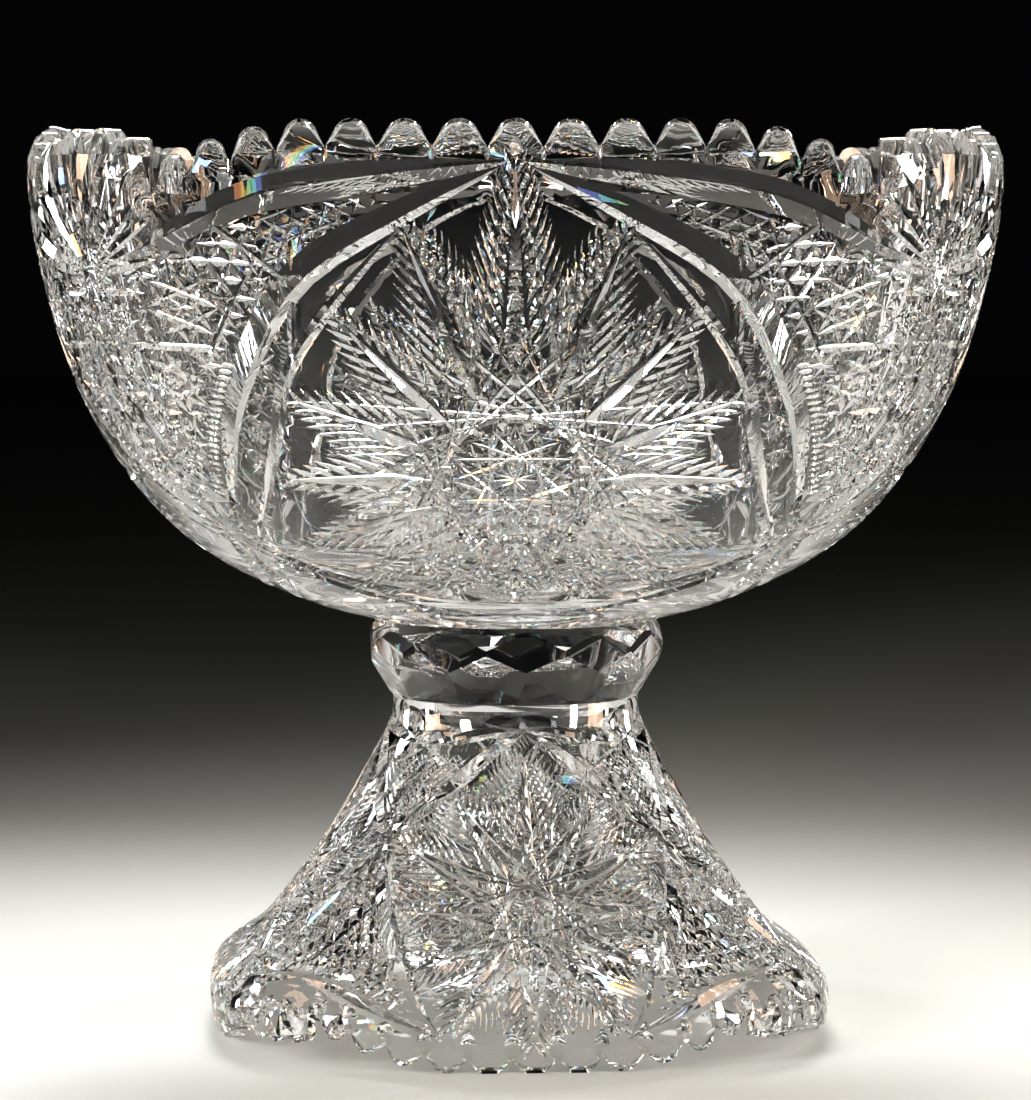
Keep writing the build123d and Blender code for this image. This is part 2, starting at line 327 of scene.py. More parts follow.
def star(skin, chart, outline, points, hub, far, kite, chord, barb):
    """Feathered star: spear points, long chords round the hub, and barbs between.

    outline gives the distance from the hub to a point's tip, for its turn in degrees
    from up. kite and chord are (half width, depth); far is how far from the hub chords
    end. barb is (pitch, length at the valley, share kept at the tip, half width, depth).
    Barbs run parallel to the neighbouring point.
    """
    def reach(turn):
        up = abs(math.degrees(math.remainder(turn, 2 * math.pi)))
        return float(np.interp(up, *zip(*outline)))

    cuts = []
    half_gap = math.pi / points
    turns = [2 * half_gap * i for i in range(points)]
    pitch, length, kept, barb_wide, barb_deep = barb
    for turn in turns:
        tip = reach(turn)
        cuts.append(cut_line(skin, chart, polar(hub * SPEAR_START, turn), polar(tip, turn),
                             *kite, "spear", SPEAR))
        for way in (-1, 1):
            lean = math.acos(hub / tip)
            start = polar(tip * CHORD_START, turn)
            touch = polar(hub, turn + way * lean)
            past = math.sqrt(far * far - hub * hub) / math.dist(start, touch)
            end = along(start, touch, 1 + past)
            cuts.append(cut_line(skin, chart, start, end, *chord, "even", CHORD))
    for turn in turns:
        middle = turn + half_gap
        for way in (-1, 1):
            own = middle + way * half_gap
            heading = middle - way * half_gap
            tip = reach(own)
            inner = VALLEY_REACH * min(tip, reach(own - 2 * way * half_gap))
            valley = polar(inner, middle + way * half_gap * VALLEY_LEAN)
            point = polar(tip, own)
            span = math.dist(valley, point) * math.sin(2 * half_gap)
            count = max(FEWEST_BARBS, round(span / pitch))
            for k in range(count):
                t = (k + FIRST_BARB) / count
                foot = along(valley, point, t)
                dx, ds = polar(length * (1.0 - (1.0 - kept) * t) * tip / reach(0.0), heading)
                start = (foot[0] - dx * BARB_BACK, foot[1] - ds * BARB_BACK)
                end = (foot[0] + dx, foot[1] + ds)
                cuts.append(cut_line(skin, chart, start, end, barb_wide, barb_deep,
                                     "dagger", BARB))
    return cuts


# Width and depth of a round star's rays, as a share of its chords'.
RAY_SHARE = 0.8


def hobstar(skin, chart, centre, radius, points, skip, wide, deep):
    """Round star: chords joining every skip-th point, and finer rays across the middle."""
    cuts = []
    for i in range(points):
        start = polar(radius, 2 * math.pi * i / points, centre)
        end = polar(radius, 2 * math.pi * (i + skip) / points, centre)
        cuts.append(cut_line(skin, chart, start, end, wide, deep, "even", SHORT))
    inner = radius * math.cos(math.pi * skip / points)
    for i in range(points // 2):
        turn = 2 * math.pi * i / points
        start = polar(-inner, turn, centre)
        end = polar(inner, turn, centre)
        cuts.append(cut_line(skin, chart, start, end, wide * RAY_SHARE, deep * RAY_SHARE,
                             "even", SHORT))
    return cuts


# Distance from a fan's centre to where its cuts start.
FAN_START = 2.5


def fans(skin, rows):
    """Fans of leaf cuts on the corner's centre line, one for each row.

    A row is height, count, half spread and aim in degrees, half width, depth, and the
    length as its longest, what it loses a radian from the aim, and the power of that.
    """
    cuts = []
    for height, count, spread, aim, wide, deep, longest, loss, power in rows:
        chart = skin.corner_chart(height)
        middle = math.radians(aim)
        for i in range(count):
            turn = middle + math.radians(spread) * (2 * i / (count - 1) - 1)
            length = longest - loss * abs(turn - middle) ** power
            cuts.append(cut_line(skin, chart, polar(FAN_START, turn), polar(length, turn),
                                 wide, deep))
    return cuts


# A field is tested at this spacing, and cuts under so many samples are left out.
FIELD_SAMPLE = 1.0
SHORTEST_CUT = 4


def lattice(skin, chart, inside, box, slopes, pitch, wide, deep):
    """Parallel cuts at each slope, pitch apart, wherever inside says the field is."""
    cuts = []
    (x0, s0), (x1, s1) = box
    reach = math.hypot(x1 - x0, s1 - s0) / 2
    t = np.arange(-reach, reach, FIELD_SAMPLE)
    for slope in slopes:
        dx, ds = polar(1.0, slope)
        for k in range(int(-reach / pitch), int(reach / pitch) + 1):
            x = (x0 + x1) / 2 + ds * k * pitch + dx * t
            s = (s0 + s1) / 2 - dx * k * pitch + ds * t
            within = (x > x0) & (x < x1) & (s > s0) & (s < s1)
            within &= inside(*chart(x, s))
            edges = np.flatnonzero(np.diff(np.concatenate([[0], within.astype(int), [0]])))
            for a, b in zip(edges[::2], edges[1::2]):
                if b - a >= SHORTEST_CUT:
                    start = (x[a] - dx, s[a] - ds)
                    end = (x[b - 1] + dx, s[b - 1] + ds)
                    cuts.append(cut_line(skin, chart, start, end, wide, deep, "even", LATTICE))
    return cuts


def clear_of(skin, path, limit):
    """Test for places that are further than the limit from a path on the skin."""
    line = skin.points(*path)

    def test(angle, height):
        p = skin.points(angle, height)
        gap = np.linalg.norm(p[:, None, :] - line[None, :, :], axis=2).min(axis=1)
        return gap > limit
    return test


def mirrored(cuts):
    """The same cutters on the other side of the panel's centre line."""
    return [(v * np.array([-1.0, 1.0, 1.0]), [f[::-1] for f in faces]) for v, faces in cuts]


def turned(cuts, degrees):
    """Cutters turned about the axis."""
    a = math.radians(degrees)
    m = np.array([[math.cos(a), math.sin(a), 0], [-math.sin(a), math.cos(a), 0], [0, 0, 1]])
    return [(v @ m, faces) for v, faces in cuts]


def all_round(cuts):
    """Cutters of one panel and corner, repeated for every quarter."""
    return [cut for k in range(QUARTERS) for cut in turned(cuts, 360.0 / QUARTERS * k)]


# ---- Toothed edges. A notch parts each panel from its corners ----
NOTCH_ANGLE = 36.0
NOTCH_OVERLAP = 1.8
TOOTH_CROWDING = 0.95
TOOTH_SHOULDER = 0.17
TOOTH_SHOULDER_DROP = 0.42
TRIM_MARGIN = 20.0
ARC_STEPS = 10
RIM_LEVEL_HALF = 66.0
RIM_FALL_SPAN = 50.0
RIM_FALL_POWER = 1.7
RIM_PANEL_FALL = 13.0
RIM_CORNER_TOP = 325.0
RIM_CORNER_FALL = 11.0
RIM_CORNER_SPAN = 31.0
FOOT_GROUND_DEPTH = 0.7
FOOT_LEVEL_HALF = 16.0
FOOT_RISE_SPAN = 55.0
FOOT_PANEL_RISE = 13.0
FOOT_CORNER_LIFT = 8.5
FOOT_CORNER_RISE = 3.0
FOOT_CORNER_SPAN = 20.0


def rim_panel(distance):
    """Tip height along a panel of the rim."""
    beyond = max(0.0, (distance - RIM_LEVEL_HALF) / RIM_FALL_SPAN)
    return RIM_TOP - RIM_PANEL_FALL * beyond ** RIM_FALL_POWER


def rim_corner(distance):
    """Tip height along a corner of the rim."""
    return RIM_CORNER_TOP - RIM_CORNER_FALL * (distance / RIM_CORNER_SPAN) ** 2


def foot_panel(distance):
    """Tip height along a panel of the foot."""
    beyond = max(0.0, (distance - FOOT_LEVEL_HALF) / FOOT_RISE_SPAN)
    return FOOT_PANEL_RISE * beyond ** 2 - FOOT_GROUND_DEPTH


def foot_corner(distance):
    """Tip height along a corner of the foot."""
    return FOOT_CORNER_LIFT + FOOT_CORNER_RISE * (distance / FOOT_CORNER_SPAN) ** 2


# An edge's half width and plan, its rows of teeth on a panel and on a corner, the
# notches' height, and the half width and depth of the bevel round each tooth. Teeth
# that point down have a depth below zero.
Teeth = namedtuple("Teeth", "count tip_level depth")
Edge = namedtuple("Edge", "half squareness panel corner notch_level bevel")
RIM = Edge(170.6, 4.6, Teeth(15, rim_panel, 10.0), Teeth(6, rim_corner, 3.5), 303.0, (1.8, 1.6))
FOOT = Edge(112.0, 3.2, Teeth(11, foot_panel, -6.0), Teeth(5, foot_corner, -3.0), 18.0, (2.4, 2.2))


def tooth_edges(half_span, count):
    """Distances from the middle of a row of teeth to the edges of each tooth."""
    return [half_span * math.sin((2 * k / count - 1) * TOOTH_CROWDING) / math.sin(TOOTH_CROWDING)
            for k in range(count + 1)]


def panel_span(edge):
    """Distance from a panel's centre line to the notch at its end."""
    notch = math.radians(NOTCH_ANGLE)
    across = math.sin(notch) ** edge.squareness + math.cos(notch) ** edge.squareness
    return edge.half / across ** (1 / edge.squareness) * math.sin(notch)


def toothed_edge(half_span, teeth, notch_level):
    """Outline of a row of rounded teeth, from one notch to the other."""
    xs = tooth_edges(half_span, teeth.count)
    drop = teeth.depth * TOOTH_SHOULDER_DROP
    outline = []
    for k, (x0, x1) in enumerate(zip(xs, xs[1:])):
        middle = (x0 + x1) / 2
        tip = teeth.tip_level(abs(middle))
        valley = teeth.tip_level(abs(x0)) - teeth.depth
        outline.append((x0, valley if k else notch_level))
        reach = (x1 - x0) * (0.5 - TOOTH_SHOULDER)
        radius = (reach * reach + drop * drop) / (2 * abs(drop))
        swing = math.asin(min(1.0, reach / radius))
        for i in range(ARC_STEPS + 1):
            a = swing * (2 * i / ARC_STEPS - 1)
            sag = math.copysign(radius - radius * math.cos(a), drop)
            outline.append((middle + radius * math.sin(a), tip - sag))
    outline.append((half_span, notch_level))
    return outline


def tooth_rows(edge):
    """Outlines of a panel's and of a corner's row of teeth."""
    notch = math.radians(NOTCH_ANGLE)
    across = panel_span(edge)
    corner_across = across / math.sin(notch) * math.sin(math.radians(CORNER) - notch)
    return (toothed_edge(across, edge.panel, edge.notch_level),
            toothed_edge(corner_across, edge.corner, edge.notch_level))


def slab(outline, edge, far_level):
    """Cutter for everything beyond a toothed outline on two opposite sides."""
    wide = outline[-1][0] + NOTCH_OVERLAP
    reach = 2 * edge.half
    loop = [*outline, (wide, edge.notch_level), (wide, far_level),
            (-wide, far_level), (-wide, edge.notch_level)]
    n = len(loop)
    v = [(x, y, z) for y in (-reach, reach) for x, z in loop]
    faces = [tuple(range(n)), tuple(range(2 * n - 1, n - 1, -1))]
    for i in range(n):
        j = (i + 1) % n
        faces.append((i, i + n, j + n, j))
    return np.array(v), faces


def tooth_slabs(edge, far_level):
    """The four cutters that shape a toothed rim or foot."""
    panel_row, corner_row = tooth_rows(edge)
    quarter = 360.0 / QUARTERS
    panels = [slab(panel_row, edge, far_level)]
    corners = [slab(corner_row, edge, far_level)]
    return (turned(panels, 0.0) + turned(panels, quarter)
            + turned(corners, CORNER) + turned(corners, CORNER + quarter))


def tooth_bevels(skin, edge):
    """Bevel round the outer edge of every tooth of one panel and one corner."""
    cuts = []
    size = ARC_STEPS + 2
    for outline, place in zip(tooth_rows(edge), (skin.panel_angle, skin.corner_angle)):
        for first in range(0, len(outline) - 1, size):
            x, height = np.array(outline[first:first + size + 1:2]).T
            height = np.maximum(height, skin.heights[0] + skin.NORMAL_STEP)
            wide, deep = edge.bevel
            cuts.append(cut_path(skin, place(x, height), height, wide, wide, deep))
    return cuts


def valley_cuts(skin, edge, middle, near, far, wide, deep, stations):
    """Short cuts below or above the valleys between teeth, on one half of a panel.

    middle is the height the chart is laid from; near and far are how far above the
    teeth's tips the cuts start and end.
    """
    chart = skin.panel_chart(middle)
    cuts = []
    for x in tooth_edges(panel_span(edge), edge.panel.count):
        if x > 0:
            tip = edge.panel.tip_level(x) - middle
            cuts.append(cut_line(skin, chart, (x, tip + near), (x, tip + far), wide, deep,
                                 stations=stations))
    return cuts


# ---- Meshes ----
def rings_mesh(v, columns, rows):
    """Closed solid from rings of points, lowest first, as vertices and faces."""
    faces = []
    for j in range(rows - 1):
        for i in range(columns):
            a = j * columns + i
            b = j * columns + (i + 1) % columns
            faces.append((a, b, b + columns, a + columns))
    faces.append(tuple(range(columns - 1, -1, -1)))
    faces.append(tuple((rows - 1) * columns + i for i in range(columns)))
    return np.asarray(v), faces


def blank_mesh(skin, columns, rows):
    """Closed solid inside a skin, as vertices and faces."""
    run = np.linspace(skin.run[0], skin.run[-1], rows)
    levels = np.interp(run, skin.run, skin.heights)
    angles = np.arange(columns) * 360.0 / columns
    rings = [skin.points(angles, np.full(columns, level)) for level in levels]
    return rings_mesh(np.concatenate(rings), columns, rows)


def lathe_mesh(profile, columns):
    """Closed solid of revolution from (radius, height) pairs, lowest first."""
    v = []
    for r, z in profile:
        for i in range(columns):
            a = 2 * math.pi * i / columns
            v.append((r * math.cos(a), r * math.sin(a), z))
    return rings_mesh(v, columns, len(profile))


def facing_out(v, faces):
    """Faces in the order that makes the solid's volume positive."""
    total = 0.0
    for f in faces:
        a = v[f[0]]
        for i in range(1, len(f) - 1):
            total += np.dot(a, np.cross(v[f[i]], v[f[i + 1]]))
    return faces if total > 0 else [tuple(reversed(f)) for f in faces]


def solid_mesh(name, v, faces):
    """Mesh of a closed solid from vertices in millimetres."""
    mesh = bpy.data.meshes.new(name)
    mesh.from_pydata((v * MM).tolist(), [], facing_out(v, faces))
    mesh.update()
    return mesh


def add_object(name, data, collection):
    """Object of a mesh, lamp or camera, in a collection."""
    obj = bpy.data.objects.new(name, data)
    collection.objects.link(obj)
    return obj


def combine(base, operation, solids):
    """New mesh from one boolean of a base mesh, which it uses up, with many solids."""
    scene = bpy.context.scene
    tools = bpy.data.collections.new("cutters")
    scene.collection.children.link(tools)
    for solid in solids:
        add_object("cutter", solid_mesh("cutter", *solid), tools)
    holder = add_object("holder", base, scene.collection)
    step = holder.modifiers.new("cut", "BOOLEAN")
    step.solver = "MANIFOLD"
    step.operation = operation
    step.operand_type = "COLLECTION"
    step.collection = tools
    graph = bpy.context.evaluated_depsgraph_get()
    result = bpy.data.meshes.new_from_object(holder.evaluated_get(graph))
    for obj in [*tools.objects, holder]:
        mesh = obj.data
        bpy.data.objects.remove(obj)
        bpy.data.meshes.remove(mesh)
    bpy.data.collections.remove(tools)
    return result


def largest_part(mesh):
    """Remove chips that the cuts leave loose."""
    bm = bmesh.new()
    bm.from_mesh(mesh)
    left = set(bm.verts)
    groups = []
    while left:
        stack = [left.pop()]
        group = list(stack)
        while stack:
            v = stack.pop()
            for e in v.link_edges:
                w = e.other_vert(v)
                if w in left:
                    left.remove(w)
                    group.append(w)
                    stack.append(w)
        groups.append(group)
    groups.sort(key=len)
    for group in groups[:-1]:
        bmesh.ops.delete(bm, geom=group, context="VERTS")
    bm.to_mesh(mesh)
    bm.free()


def crisp(mesh):
    """Smooth shading that breaks at edges sharper than CREASE."""
    bm = bmesh.new()
    bm.from_mesh(mesh)
    limit = math.radians(CREASE)
    for face in bm.faces:
        face.smooth = True
    for edge in bm.edges:
        edge.smooth = len(edge.link_faces) == 2 and edge.calc_face_angle(0.0) < limit
    bm.to_mesh(mesh)
    bm.free()


# ---- Cut pattern of the bowl. Paths are (angle, height) pairs on one half panel ----
RIM_ARC = [(0.0, 313.5), (13.0, 309.5), (27.0, 301.7), (37.4, 285.7), (44.6, 277.0)]
SIDE_ARC = [(1.0, 312.5), (11.8, 295.8), (23.5, 272.8), (32.0, 233.3), (38.0, 203.0), (44.6, 184.0)]
VESICA = [(11.8, 294.5), (20.2, 266.3), (26.0, 242.6), (29.5, 218.3), (35.0, 197.0), (43.5, 180.0)]
BASE_ARC = [(44.6, 189.0), (38.0, 175.0), (27.0, 166.5), (13.0, 162.0), (0.5, 160.5)]
UNDER_ARC = [(44.6, 181.0), (37.0, 168.5), (26.0, 161.0), (13.0, 157.5), (0.5, 156.0)]
# Main mitres: path, left and right half widths (a list is spread along it), depth.
BOWL_MITRES = [
    (RIM_ARC, (3.5, 6.5, 6.5, 5.0), 6.2, 4.0),
    (SIDE_ARC, (8.5, 8.5, 5.0, 3.0), 3.4, 3.4),
    (VESICA, 2.5, 2.5, 2.3),
    (BASE_ARC, 3.2, 3.2, 2.8),
    (UNDER_ARC, 2.8, 2.8, 2.6),
]
BOWL_MITRE_STATIONS = 22

# The panel's star: outline, points, hub, reach of chords, points, chords and barbs.
BOWL_HUB_HEIGHT = 207.0
BOWL_STAR = (
    [(0, 112), (22.5, 99), (45, 85), (67.5, 81), (90, 77), (135, 74), (180, 70)],
    16, 24.5, 62.0, (3.3, 2.9), (0.85, 0.8), (2.3, 31.0, 0.27, 1.2, 1.1),
)
# The round star in its hub, and the short leaves round that.
BOWL_HUB_STAR = (22.0, 16, 6, 0.65, 0.65)
HUB_LEAVES = 16
HUB_LEAF = (20.0, 27.5)
HUB_LEAF_CUT = (1.7, 1.6)

# Fans of the corner, up and down from the end of the rim arc and round the end of the
# side arc. Their rows are as fans says.
BOWL_FANS = [
    (276.0, 15, 80.0, 0.0, 2.1, 2.1, 50.0, 12.0, 1.5),
    (276.0, 9, 75.0, 180.0, 1.4, 1.4, 15.0, 3.0, 1.0),
    (187.0, 12, 165.0, 0.0, 1.4, 1.4, 15.0, 0.0, 1.0),
]
# One upright leaf between the fans, and the short cuts under the rim's teeth.
CORNER_LEAF_HEIGHT = 224.0
CORNER_LEAF = ((0, 14), (0, -16), 3.4, 2.8)
RIM_MARK = (300.0, -6.0, -15.5, 1.3, 1.1, SHORT)

# The field between the arcs: lattice and round stars near the corner, a band of finer
# lattice nearer the panel. Angles bound them; margins keep them off the arcs. A lattice
# is its slopes in radians, pitch, half width and depth; a star is across, up, radius.
ARC_STATIONS = 60
RIM_ARC_MARGIN = 6.4
SIDE_ARC_MARGIN = 8.6
BAND_START = 8.0
FIELD_START = 27.0
BAND_END = 27.6
FIELD_END = 45.5
FIELD_HEIGHT = 240.0
FIELD_BOX = ((-80, -60), (1.5, 60))
FIELD_LATTICE = ((0.45, -0.6, 1.52), 6.0, 1.4, 1.35)
FIELD_STARS = [(-33.0, 26.0, 13.0), (-22.0, 0.0, 12.0), (-8.0, 22.0, 9.0), (-9.0, -30.0, 9.0)]
FIELD_STAR = (8, 3, 1.2, 1.3)
BAND_HEIGHT = 280.0
BAND_BOX = ((15, -50), (95, 40))
BAND_LATTICES = [((-0.31, 1.1), 4.7, 1.15, 1.1), ((-1.22,), 4.7, 0.8, 0.7)]
# Rungs of the ladder strip outside the side arc: count, top, pitch, then their span
# in degrees from the arc, rise from end to end, and half width and depth.
LADDER = (22, 246.0, 2.1)
RUNG = ((1.4, 3.3), (-0.6, 0.6), (0.85, 0.9))
RUNG_STATIONS = 4
# Two long straight cuts over the field, one upright and one slanting down to the arc.
FRAME_HEIGHT = 270.0
FRAME_CUTS = [((74.0, 22.0), (74.0, -32.0)), ((104.0, 26.0), (70.0, 0.0))]
FRAME_CUT = (1.6, 1.6)


def bowl_field(skin):
    """Lattices and round stars between the arcs, from a panel to its corner."""
    rim = through(RIM_ARC, ARC_STATIONS)
    side = through(SIDE_ARC, ARC_STATIONS)
    far_from_rim = clear_of(skin, rim, RIM_ARC_MARGIN)
    far_from_side = clear_of(skin, side, SIDE_ARC_MARGIN)
    corner = skin.corner_chart(FIELD_HEIGHT)
    centres = [(skin.points(*corner(x, s)), radius) for x, s, radius in FIELD_STARS]

    def between(angle, height):
        upper = np.interp(angle, *rim)
        lower = np.interp(angle, *side)
        good = (height < upper) & (height > lower) & (angle > BAND_START) & (angle <= FIELD_END)
        return good & far_from_rim(angle, height) & far_from_side(angle, height)

    def field(angle, height):
        p = skin.points(angle, height)
        good = between(angle, height) & (angle > FIELD_START)
        for centre, radius in centres:
            good &= np.linalg.norm(p - centre, axis=1) > radius
        return good

    def band(angle, height):
        return between(angle, height) & (angle <= BAND_END)

    cuts = lattice(skin, corner, field, FIELD_BOX, *FIELD_LATTICE)
    front = skin.panel_chart(BAND_HEIGHT)
    for row in BAND_LATTICES:
        cuts += lattice(skin, front, band, BAND_BOX, *row)
    for x, s, radius in FIELD_STARS:
        cuts += hobstar(skin, corner, (x, s), radius, *FIELD_STAR)
    return cuts


def bowl_ladder(skin):
    """Ladder strip outside the side arc, and the long cuts beside it."""
    angles, heights = through(SIDE_ARC, ARC_STATIONS)
    count, top, pitch = LADDER
    span, rise, (wide, deep) = RUNG
    cuts = []
    for k in range(count):
        z = top - pitch * k
        root = np.interp(z, heights[::-1], angles[::-1])
        cuts.append(cut_path(skin, root + np.linspace(*span, RUNG_STATIONS),
                             z + np.linspace(*rise, RUNG_STATIONS), wide, wide, deep))
    front = skin.panel_chart(FRAME_HEIGHT)
    cuts += [cut_line(skin, front, start, end, *FRAME_CUT) for start, end in FRAME_CUTS]
    return cuts


def bowl_cuts(skin):
    """Every cutter of one panel and one corner of the bowl."""
    panel = skin.panel_chart(BOWL_HUB_HEIGHT)
    cuts = star(skin, panel, *BOWL_STAR)
    cuts += hobstar(skin, panel, (0, 0), *BOWL_HUB_STAR)
    for k in range(HUB_LEAVES):
        turn = 2 * math.pi * (k + 0.5) / HUB_LEAVES
        start, end = [polar(radius, turn) for radius in HUB_LEAF]
        cuts.append(cut_line(skin, panel, start, end, *HUB_LEAF_CUT, stations=SHORT))
    half = mitres(skin, BOWL_MITRES, BOWL_MITRE_STATIONS)
    half += bowl_field(skin) + bowl_ladder(skin) + valley_cuts(skin, RIM, *RIM_MARK)
    cuts += half + mirrored(half) + fans(skin, BOWL_FANS)
    middle = skin.corner_chart(CORNER_LEAF_HEIGHT)
    cuts.append(cut_line(skin, middle, *CORNER_LEAF))
    return cuts + tooth_bevels(skin, RIM)


# ---- Cut pattern of the stand ----
NECK_ARC = [(0.0, 112.6), (16.0, 111.5), (28.0, 109.4), (38.0, 107.6), (44.6, 106.4)]
NECK_LINE = [(0.0, 111.5), (14.0, 104.5), (27.0, 93.0), (36.0, 83.0), (44.5, 75.0)]
FLARE_LINE = [(44.8, 73.0), (36.2, 55.3), (26.4, 36.2), (20.0, 23.3), (15.8, 12.2)]
FOOT_LINE = [(15.8, 11.8), (21.5, 16.8), (28.7, 23.0), (36.0, 27.5), (44.8, 30.0)]
STAND_MITRES = [
    (NECK_ARC, 1.8, 2.6, 1.8),
    (NECK_LINE, 3.0, 3.4, 2.8),
    (FLARE_LINE, (3.0, 4.5, 6.0), 2.6, 2.6),
    (FOOT_LINE, 3.2, (3.0, 5.0), 2.4),
]
STAND_MITRE_STATIONS = 16
NECK_MITRES = [
    ([(27.0, 98.3), (46.4, 106.0)], 1.5, 1.5, 1.4),
    ([(33.0, 86.5), (42.4, 95.0)], 1.5, 1.5, 1.4),
]
NECK_MITRE_STATIONS = 6

STAND_HUB_HEIGHT = 52.4
STAND_STAR = (
    [(0, 60), (30, 53), (60, 52), (90, 49), (120, 49), (150, 59), (180, 56)],
    12, 9.0, 34.0, (2.4, 2.2), (0.8, 0.8), (1.75, 26.0, 0.25, 1.0, 0.95),
)
STAND_HUB_STAR = (8.0, 12, 5, 0.45, 0.45)
STAND_FANS = [
    (75.0, 8, 157.5, 0.0, 1.3, 1.3, 11.0, 0.0, 1.0),
    (25.0, 6, 58.0, 180.0, 2.0, 1.9, 17.0, 0.0, 1.0),
]
FOOT_MARK = (20.0, 4.0, 17.5, 3.0, 2.8, BARB)

# The corner's lattice on the flare, and the finer one on the neck.
LINE_STATIONS = 40
LINE_MARGIN = 3.4
FLARE_TOP = 74.0
FLARE_CHART = 45.0
FLARE_BOX = ((-55, -45), (1.0, 45))
FLARE_LATTICE = ((0.5, -0.5, 1.57), 4.8, 1.2, 1.2)
NECK_TOP = 103.5
NECK_START = 22.0
NECK_CHART = 92.0
NECK_BOX = ((-40, -25), (1.0, 25))
NECK_LATTICE = ((0.75, -0.75), 2.0, 0.7, 0.65)


def stand_fields(skin):
    """Lattices of the corner and of the neck, with the neck's short mitres."""
    neck, side, base = [through(line, LINE_STATIONS) for line in (NECK_LINE, FLARE_LINE, FOOT_LINE)]
    far = [clear_of(skin, path, LINE_MARGIN) for path in (neck, side, base)]

    def corner_field(angle, height):
        edge = np.interp(height, side[1][::-1], side[0][::-1])
        floor = np.interp(angle, *base)
        good = (angle > edge) & (height > floor) & (height < FLARE_TOP) & (angle <= FIELD_END)
        for test in far:
            good &= test(angle, height)
        return good

    def neck_field(angle, height):
        floor = np.interp(angle, *neck)
        good = (height > floor) & (height < NECK_TOP) & (angle <= FIELD_END) & (angle > NECK_START)
        return good & far[0](angle, height)

    cuts = lattice(skin, skin.corner_chart(FLARE_CHART), corner_field, FLARE_BOX, *FLARE_LATTICE)
    cuts += mitres(skin, NECK_MITRES, NECK_MITRE_STATIONS)
    cuts += lattice(skin, skin.corner_chart(NECK_CHART), neck_field, NECK_BOX, *NECK_LATTICE)
    return cuts


def stand_cuts(skin):
    """Every cutter of one panel and one corner of the stand."""
    panel = skin.panel_chart(STAND_HUB_HEIGHT)
    cuts = star(skin, panel, *STAND_STAR)
    cuts += hobstar(skin, panel, (0, 0), *STAND_HUB_STAR)
    half = mitres(skin, STAND_MITRES, STAND_MITRE_STATIONS)
    half += stand_fields(skin) + valley_cuts(skin, FOOT, *FOOT_MARK)
    return cuts + half + mirrored(half) + fans(skin, STAND_FANS) + tooth_bevels(skin, FOOT)


# ---- Pieces ----
def faceted_collar():
    """Collar foot with rows of flat diamond facets."""
    v, faces = lathe_mesh(COLLAR, COLLAR_COLUMNS)
    bm = bmesh.new()
    verts = [bm.verts.new(p) for p in v]
    for f in faces:
        bm.faces.new([verts[i] for i in f])
    for height, radius, offset, lean in FACET_ROWS:
        tilt = math.radians(lean)
        for k in range(COLLAR_FACETS):
            a = 2 * math.pi * (k + offset) / COLLAR_FACETS + math.radians(COLLAR_TURN)
            normal = Vector((math.cos(a) * math.cos(tilt), math.sin(a) * math.cos(tilt),
                             math.sin(tilt)))
            spot = Vector((radius * math.cos(a), radius * math.sin(a), height))
            cut = bmesh.ops.bisect_plane(bm, geom=bm.verts[:] + bm.edges[:] + bm.faces[:],
                                         plane_co=spot, plane_no=normal, clear_outer=True)
            rim = [g for g in cut["geom_cut"] if isinstance(g, bmesh.types.BMEdge)]
            bmesh.ops.contextual_create(bm, geom=rim)
    bmesh.ops.remove_doubles(bm, verts=bm.verts, dist=WELD)
    bm.verts.index_update()
    places = np.array([p.co[:] for p in bm.verts])
    shape = [tuple(p.index for p in f.verts) for f in bm.faces]
    bm.free()
    return places, shape


def build_bowl():
    """Bowl with its collar foot and peg, as one mesh."""
    skin = Skin(BOWL_OUTER)
    blank = solid_mesh("blank", *blank_mesh(skin, *BOWL_GRID))
    cutters = all_round(bowl_cuts(skin))
    cutters.append(blank_mesh(Skin(BOWL_INNER), *BOWL_INNER_GRID))
    cutters += tooth_slabs(RIM, RIM_TOP + TRIM_MARGIN)
    cut = combine(blank, "DIFFERENCE", cutters)
    mesh = combine(cut, "UNION", [faceted_collar(), lathe_mesh(PEG, PEG_COLUMNS)])
    largest_part(mesh)
    crisp(mesh)
    return mesh


def build_stand():
    """Hollow stand, turned on its axis to where it is set down, just under the bowl."""
    skin = Skin(STAND_OUTER)
    v, faces = blank_mesh(skin, *STAND_GRID)
    v[v[:, 2] > SEAT - SEAT_GAP, 2] -= SEAT_GAP
    cutters = all_round(stand_cuts(skin))
    cutters.append(blank_mesh(Skin(STAND_INNER), *STAND_INNER_GRID))
    cutters += tooth_slabs(FOOT, -TRIM_MARGIN)
    blank, *cutters = turned([(v, faces), *cutters], STAND_TURN)
    mesh = combine(solid_mesh("blank", *blank), "DIFFERENCE", cutters)
    largest_part(mesh)
    crisp(mesh)
    return mesh


# ---- Materials ----
def new_material(name):
    """Material with its nodes, its links and its shader."""
    mat = bpy.data.materials.new(name)
    mat.use_nodes = True
    tree = mat.node_tree
    return mat, tree.nodes, tree.links, tree.nodes["Principled BSDF"]


